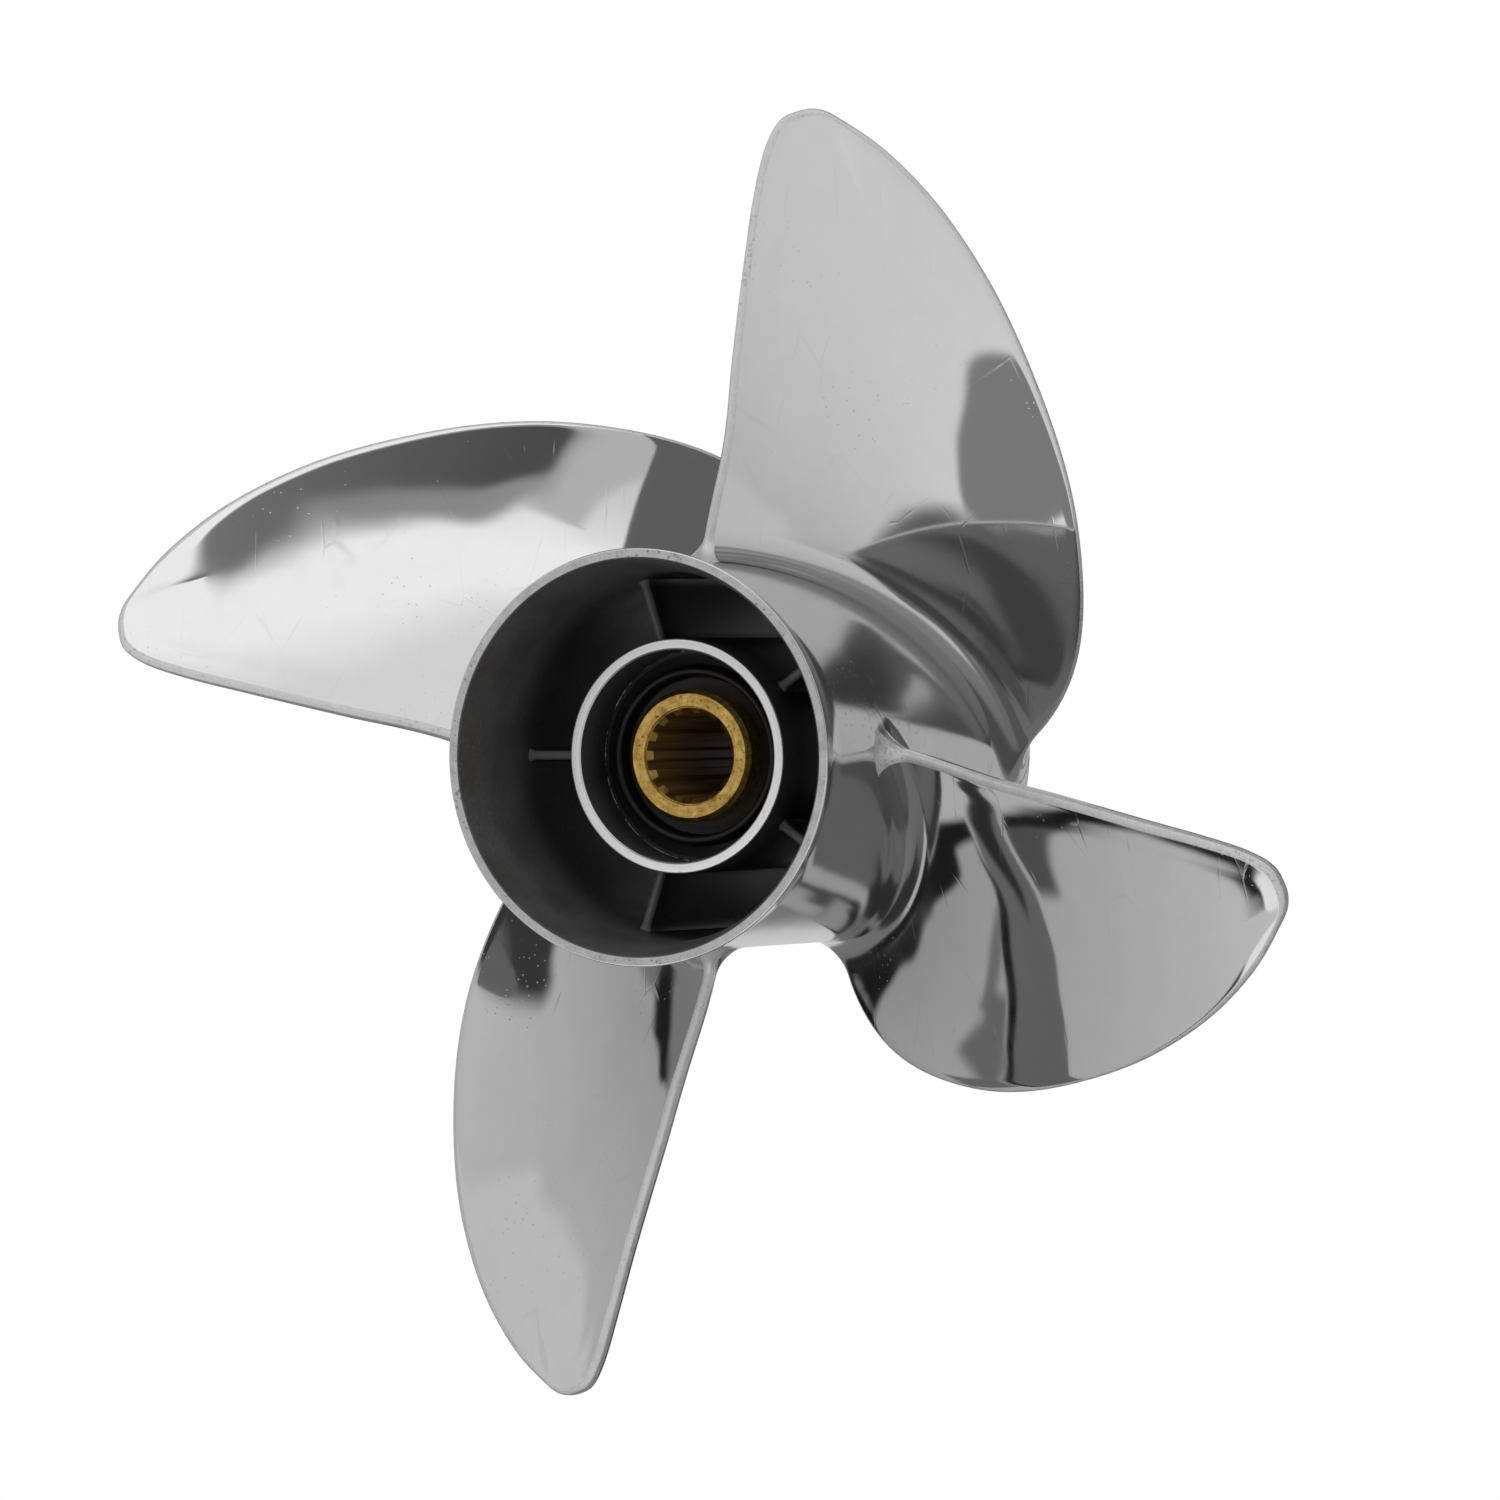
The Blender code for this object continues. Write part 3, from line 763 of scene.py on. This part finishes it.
def shaft_distance(tree, vector):
    """Distance of a point from the shaft axis."""
    axes = tree.nodes.new("ShaderNodeSeparateXYZ")
    feed(tree, axes.inputs[0], vector)
    squares = [math_node(tree, "MULTIPLY", axes.outputs[axis], axes.outputs[axis])
               for axis in ("X", "Z")]
    return math_node(tree, "SQRT", math_node(tree, "ADD", *squares))


def new_group(name, inputs, outputs):
    """A node group with these named inputs (and types) and number outputs."""
    group = bpy.data.node_groups.new(name, "ShaderNodeTree")
    for label, kind in inputs:
        group.interface.new_socket(label, in_out="INPUT", socket_type="NodeSocket" + kind)
    for label in outputs:
        group.interface.new_socket(label, in_out="OUTPUT", socket_type="NodeSocketFloat")
    given = group.nodes.new("NodeGroupInput").outputs
    result = group.nodes.new("NodeGroupOutput").inputs
    return group, given, result


def use_group(tree, group, values):
    """A node that uses a group, its inputs given by name; returns its outputs."""
    node = tree.nodes.new("ShaderNodeGroup")
    node.node_tree = group
    for name, value in values.items():
        feed(tree, node.inputs[name], value)
    return node.outputs


def card_group():
    """Node group: a card with round corners in front of what is behind it."""
    names = ("Azimuth", "Elevation", "Behind", "Brightness", "Azimuth Change",
             "Elevation Change", "Middle Azimuth", "Middle Elevation", "Half Width",
             "Half Height", "Corner", "Slant", "Softness")
    group, given, result = new_group("studio_card", [(name, "Float") for name in names],
                                     ["Light"])
    across = math_node(group, "SUBTRACT", given["Azimuth"], given["Middle Azimuth"])
    rise = math_node(group, "SUBTRACT", given["Elevation"], given["Middle Elevation"])
    lean = math_node(group, "MULTIPLY", across, given["Slant"])
    rise = math_node(group, "SUBTRACT", rise, lean)
    over = []
    for offset, half in ((across, "Half Width"), (rise, "Half Height")):
        core = math_node(group, "SUBTRACT", given[half], given["Corner"])
        size = math_node(group, "ABSOLUTE", offset)
        past = math_node(group, "SUBTRACT", size, core)
        over.append(math_node(group, "MAXIMUM", past, 0.0))
    square = math_node(group, "ADD", math_node(group, "MULTIPLY", over[0], over[0]),
                       math_node(group, "MULTIPLY", over[1], over[1]))
    edge = math_node(group, "SUBTRACT", math_node(group, "SQRT", square), given["Corner"])
    outside = math_node(group, "MULTIPLY", given["Softness"], -1.0)
    cover = fade(group, edge, outside, given["Softness"], 1.0, 0.0)
    change = weigh(group, (across, given["Azimuth Change"]), (rise, given["Elevation Change"]),
                   1.0)
    card = math_node(group, "MULTIPLY", given["Brightness"], change)
    blend = add_node(group, "ShaderNodeMix", {"Factor": cover, "A": given["Behind"], "B": card})
    feed(group, result["Light"], blend.outputs["Result"])
    return group


def make_world():
    """White behind the object, and the studio's cards wherever the steel looks."""
    world = bpy.data.worlds.new("studio")
    bpy.context.scene.world = world
    world.use_nodes = True
    tree = world.node_tree
    nodes, links = tree.nodes, tree.links
    nodes.clear()
    direction = nodes.new("ShaderNodeTexCoord").outputs["Generated"]
    axes = nodes.new("ShaderNodeSeparateXYZ")
    links.new(direction, axes.inputs["Vector"])
    aft = math_node(tree, "MULTIPLY", axes.outputs["Y"], -1.0)
    turn = math_node(tree, "ARCTAN2", axes.outputs["X"], aft)
    azimuth = math_node(tree, "DEGREES", turn)
    elevation = math_node(tree, "DEGREES", math_node(tree, "ARCSINE", axes.outputs["Z"]))
    group = card_group()
    labels = [item.name for item in group.interface.items_tree if item.in_out == "INPUT"]
    light = ROOM_BRIGHTNESS
    for _, *values in STUDIO_CARDS:
        given = dict(zip(labels, (azimuth, elevation, light, *values)))
        light = use_group(tree, group, given)["Light"]
    seen = nodes.new("ShaderNodeBackground")
    seen.inputs["Color"].default_value = (1.0, 1.0, 1.0, 1.0)
    cards = nodes.new("ShaderNodeBackground")
    cards.inputs["Color"].default_value = (1.0, 1.0, 1.0, 1.0)
    links.new(light, cards.inputs["Strength"])
    choice = nodes.new("ShaderNodeMixShader")
    path = nodes.new("ShaderNodeLightPath")
    links.new(path.outputs["Is Camera Ray"], choice.inputs["Fac"])
    links.new(cards.outputs["Background"], choice.inputs[1])
    links.new(seen.outputs["Background"], choice.inputs[2])
    output = nodes.new("ShaderNodeOutputWorld")
    links.new(choice.outputs["Shader"], output.inputs["Surface"])


def surface_marks():
    """Node group: pits in patches, long scratches, mottling and slow waves."""
    group, given, result = new_group("surface_marks", (("Vector", "Vector"),
                                     ("Pit Scale", "Float"), ("Pit Size", "Float")),
                                     ("Pits", "Scratches", "Mottle", "Wave"))
    place = given["Vector"]
    patches = fade(group, noise(group, place, 24.0), 0.46, 0.66)
    cells = add_node(group, "ShaderNodeTexVoronoi",
                     {"Vector": place, "Scale": given["Pit Scale"]}).outputs["Distance"]
    size = math_node(group, "ADD", math_node(group, "MULTIPLY", patches, given["Pit Size"]),
                     0.0001)
    pits = fade(group, math_node(group, "DIVIDE", cells, size), 0.6, 1.0, 1.0, 0.0)
    feed(group, result["Pits"], pits)
    long_cells = stretch(group, place, (70.0, 70.0, 9.0), (0.12, 0.2, 0.0))
    lines = add_node(group, "ShaderNodeTexVoronoi", {"Vector": long_cells, "Scale": 1.0},
                     feature="DISTANCE_TO_EDGE").outputs["Distance"]
    scattered = fade(group, noise(group, place, 55.0, 3.0), 0.5, 0.66)
    scratches = math_node(group, "MULTIPLY", fade(group, lines, 0.0, 0.02, 1.0, 0.0), scattered)
    feed(group, result["Scratches"], scratches)
    feed(group, result["Mottle"], noise(group, place, 120.0, 5.0, 0.6))
    feed(group, result["Wave"], noise(group, place, 26.0, 1.0))
    return group


def turning_marks():
    """Node group: fine rings about the shaft axis, broken up along the cut."""
    group, given, result = new_group("turning_marks", (("Vector", "Vector"),
                                     ("Ring Scale", "Float")), ("Rings", "Nicks"))
    axes = group.nodes.new("ShaderNodeSeparateXYZ")
    feed(group, axes.inputs[0], given["Vector"])
    radius = shaft_distance(group, given["Vector"])
    spot = group.nodes.new("ShaderNodeCombineXYZ")
    feed(group, spot.inputs["X"], math_node(group, "MULTIPLY", radius, given["Ring Scale"]))
    feed(group, spot.inputs["Y"], math_node(group, "MULTIPLY", axes.outputs["X"], 90.0))
    feed(group, spot.inputs["Z"], math_node(group, "MULTIPLY", axes.outputs["Z"], 90.0))
    feed(group, result["Rings"], noise(group, spot.outputs[0], 1.0, 4.0, 0.7))
    chips = noise(group, given["Vector"], 700.0, 3.0, 0.6)
    feed(group, result["Nicks"], fade(group, chips, 0.6, 0.72))
    return group


def shaft_streaks():
    """Node group: streaks that run along the shaft axis."""
    group, given, result = new_group("shaft_streaks", (("Vector", "Vector"),
                                     ("Fineness", "Float")), ("Streaks",))
    drawn = stretch(group, given["Vector"], (1.0, 0.03, 1.0))
    feed(group, result["Streaks"], noise(group, drawn, given["Fineness"], 3.0, 0.6))
    return group


MARKS = surface_marks()
TURNING = turning_marks()
STREAKS = shaft_streaks()

# Distances out from the hub over which the polish on its root fillets gives way to the mirror
DULL_START = 0.006
DULL_END = 0.016
# Depths from the aft rim over which painted shade darkens the skin inside the hub
SHADE_START_DEPTH = 0.024
SHADE_FULL_DEPTH = 0.043


def start_material(name, metallic, **sockets):
    """A material with a Principled shader, its constants set; returns it with its tree."""
    material = bpy.data.materials.new(name)
    material.use_nodes = True
    tree = material.node_tree
    shader = tree.nodes["Principled BSDF"].inputs
    shader["Metallic"].default_value = metallic
    for label, value in sockets.items():
        shader[label.replace("_", " ").title()].default_value = value
    place = tree.nodes.new("ShaderNodeTexCoord").outputs["Object"]
    return material, tree, shader, place


def tint(tree, value, *stops):
    """A colour ramp through (position, colour) stops."""
    node = tree.nodes.new("ShaderNodeValToRGB")
    while len(node.color_ramp.elements) < len(stops):
        node.color_ramp.elements.new(0.5)
    for element, (position, colour) in zip(node.color_ramp.elements, stops):
        element.position = position
        element.color = (*colour, 1.0)
    feed(tree, node.inputs[0], value)
    return node.outputs["Color"]


def grey(value):
    """A grey of this value."""
    return (value, value, value)


def bump(tree, height, distance, *under):
    """A Bump node over an earlier normal, its distance in metres."""
    values = {"Height": height, "Distance": distance, "Strength": 1.0}
    if under:
        values["Normal"] = under[0]
    return add_node(tree, "ShaderNodeBump", values).outputs["Normal"]


def weigh(tree, *terms):
    """A sum of (socket, factor) terms and one plain number at the end."""
    total = terms[-1]
    for socket, factor in terms[:-1]:
        total = math_node(tree, "ADD", total, math_node(tree, "MULTIPLY", socket, factor))
    return total


def polished_steel():
    """Mirror-like steel with slow waves, a few pits and thin scratches, duller near the hub."""
    material, tree, shader, place = start_material("polished_steel", 1.0)
    marks = use_group(tree, MARKS, {"Vector": place, "Pit Scale": 430.0, "Pit Size": 0.16})
    wear_and_painted_highlight = weigh(tree, (marks["Pits"], 0.2), (marks["Scratches"], 0.06),
                 (marks["Mottle"], 0.12), 0.0)
    feed(tree, shader["Base Color"], tint(tree, wear_and_painted_highlight, (0.0, grey(0.75)), (1.0, grey(0.30))))
    near_hub = fade(tree, shaft_distance(tree, place), HUB_RADIUS + DULL_START,
                    HUB_RADIUS + DULL_END, 1.0, 0.0)
    rough = weigh(tree, (marks["Mottle"], 0.05), (marks["Pits"], 0.08),
                  (marks["Scratches"], 0.06), (near_hub, 0.08), 0.025)
    feed(tree, shader["Roughness"], rough)
    waves = bump(tree, marks["Wave"], 0.00035)
    fine = weigh(tree, (marks["Pits"], -0.6), (marks["Scratches"], -0.25), 0.0)
    feed(tree, shader["Normal"], bump(tree, fine, 0.00003, waves))
    return material


def ground_steel(name, metallic, rough, dark, middle, light):
    """Belt-ground steel, blotchy and pitted, in three greys."""
    material, tree, shader, place = start_material(name, metallic)
    marks = use_group(tree, MARKS, {"Vector": place, "Pit Scale": 620.0, "Pit Size": 0.4})
    blotches = noise(tree, place, 260.0, 4.0, 0.6)
    grain = noise(tree, place, 1500.0, 2.0)
    shade = weigh(tree, (blotches, 0.6), (grain, 0.4), (marks["Pits"], -0.45), 0.0)
    feed(tree, shader["Base Color"], tint(tree, shade, (0.2, grey(dark)), (0.5, grey(middle)),
                                          (0.75, grey(light))))
    feed(tree, shader["Roughness"], weigh(tree, (blotches, 0.3), rough))
    height = weigh(tree, (grain, 0.5), (marks["Pits"], -1.5), 0.0)
    feed(tree, shader["Normal"], bump(tree, height, 0.00004))
    return material


def machined_steel():
    """Bright turned steel of the inner hub's aft face."""
    material, tree, shader, place = start_material("machined_steel", 0.93)
    turning = use_group(tree, TURNING, {"Vector": place, "Ring Scale": 5200.0})
    shade = weigh(tree, (turning["Rings"], 0.8), (turning["Nicks"], -0.25), 0.1)
    feed(tree, shader["Base Color"], tint(tree, shade, (0.2, grey(0.70)), (0.6, grey(0.97))))
    feed(tree, shader["Roughness"], weigh(tree, (turning["Rings"], 0.25), 0.22))
    feed(tree, shader["Normal"], bump(tree, turning["Rings"], 0.00001))
    return material


def dark_casting(name, pale):
    """Dark satin skin inside the hub with a grain and specks, paler near the aft rim and darker
    deeper in: painted shade.
    """
    material, tree, shader, place = start_material(name, 0.0)
    axes = tree.nodes.new("ShaderNodeSeparateXYZ")
    feed(tree, axes.inputs[0], place)
    # Painted shade: the colour darkens with depth into the hub.
    depth = fade(tree, axes.outputs["Y"], AFT_RIM + SHADE_START_DEPTH, AFT_RIM + SHADE_FULL_DEPTH, 1.0, 0.0)
    grain = noise(tree, place, 900.0, 3.0, 0.6)
    stains = noise(tree, place, 70.0, 3.0)
    specks = fade(tree, noise(tree, place, 1300.0, 1.0), 0.755, 0.79)
    shade = weigh(tree, (grain, 0.25), (stains, 0.35), (depth, 0.42), (specks, 1.0), pale)
    feed(tree, shader["Base Color"], tint(tree, shade, (0.0, grey(0.008)), (0.5, grey(0.085)),
                                          (1.0, grey(0.25))))
    feed(tree, shader["Roughness"], weigh(tree, (stains, 0.25), 0.28))
    feed(tree, shader["Normal"], bump(tree, grain, 0.00004))
    return material


def burred_steel():
    """The rough burr where the inner hub's mouth steps down, bright only in places."""
    material, tree, shader, place = start_material("burred_steel", 0.6, roughness=0.4)
    broken = fade(tree, noise(tree, place, 420.0, 4.0, 0.7), 0.47, 0.62)
    feed(tree, shader["Base Color"], tint(tree, broken, (0.0, grey(0.01)), (1.0, grey(0.55))))
    return material


def black_rubber():
    """Black rubber with a soft sheen and a little dust."""
    material, tree, shader, place = start_material("black_rubber", 0.0)
    shader["Specular IOR Level"].default_value = 0.25
    film = noise(tree, place, 160.0, 3.0)
    dust = fade(tree, noise(tree, place, 900.0, 2.0), 0.70, 0.78)
    shade = weigh(tree, (film, 0.3), (dust, 0.9), 0.0)
    feed(tree, shader["Base Color"], tint(tree, shade, (0.0, grey(0.002)), (1.0, grey(0.05))))
    feed(tree, shader["Roughness"], weigh(tree, (film, 0.25), (dust, 0.3), 0.22))
    feed(tree, shader["Normal"], bump(tree, film, 0.0002))
    return material


def machined_brass():
    """Turned brass with rings, darker stains and nicks."""
    material, tree, shader, place = start_material("machined_brass", 1.0)
    turning = use_group(tree, TURNING, {"Vector": place, "Ring Scale": 2600.0})
    stains = noise(tree, place, 330.0, 5.0, 0.7)
    shade = weigh(tree, (turning["Rings"], 0.7), (stains, 1.4), (turning["Nicks"], -0.4), -0.5)
    feed(tree, shader["Base Color"],
         tint(tree, shade, (0.2, (0.20, 0.11, 0.026)), (0.5, (0.52, 0.33, 0.085)),
              (0.8, (0.78, 0.54, 0.18))))
    feed(tree, shader["Roughness"], weigh(tree, (stains, 0.2), 0.24))
    feed(tree, shader["Normal"], bump(tree, turning["Rings"], 0.00003))
    return material


def painted_shade_bore_brass():
    """Brass darkened with painted shade for the bore and the grooves between the spline teeth,
    streaked along the shaft.
    """
    material, tree, shader, place = start_material("painted_shade_bore_brass", 0.1)
    shader["Specular IOR Level"].default_value = 0.2
    streaks = use_group(tree, STREAKS, {"Vector": place, "Fineness": 900.0})["Streaks"]
    feed(tree, shader["Base Color"],
         tint(tree, streaks, (0.3, (0.15, 0.08, 0.016)), (0.7, (0.29, 0.165, 0.038))))
    feed(tree, shader["Roughness"], weigh(tree, (streaks, 0.3), 0.35))
    feed(tree, shader["Normal"], bump(tree, streaks, 0.00004))
    return material


steel = polished_steel()
ground = ground_steel("ground_rim", 0.55, 0.3, 0.32, 0.62, 0.80)
edges = ground_steel("ground_edges", 0.75, 0.42, 0.72, 0.88, 1.0)
inside = dark_casting("dark_casting", -0.2)
# A lighter copy of the casting for the rib noses: a painted highlight.
wear_and_painted_highlight = dark_casting("lit_nose_casting", 0.4)
machined = machined_steel()
burr = burred_steel()
rubber = black_rubber()
brass = machined_brass()
brass_painted_shade = painted_shade_bore_brass()

make_outer_hub(steel, ground, inside)
make_inner_hub(machined, inside, burr)
make_bushing(rubber)
make_sleeve(brass, brass_painted_shade)
make_ribs(inside, wear_and_painted_highlight)
make_blades(steel, edges)
make_camera()
make_floor()
make_world()
bpy.context.scene.view_settings.view_transform = "Standard"
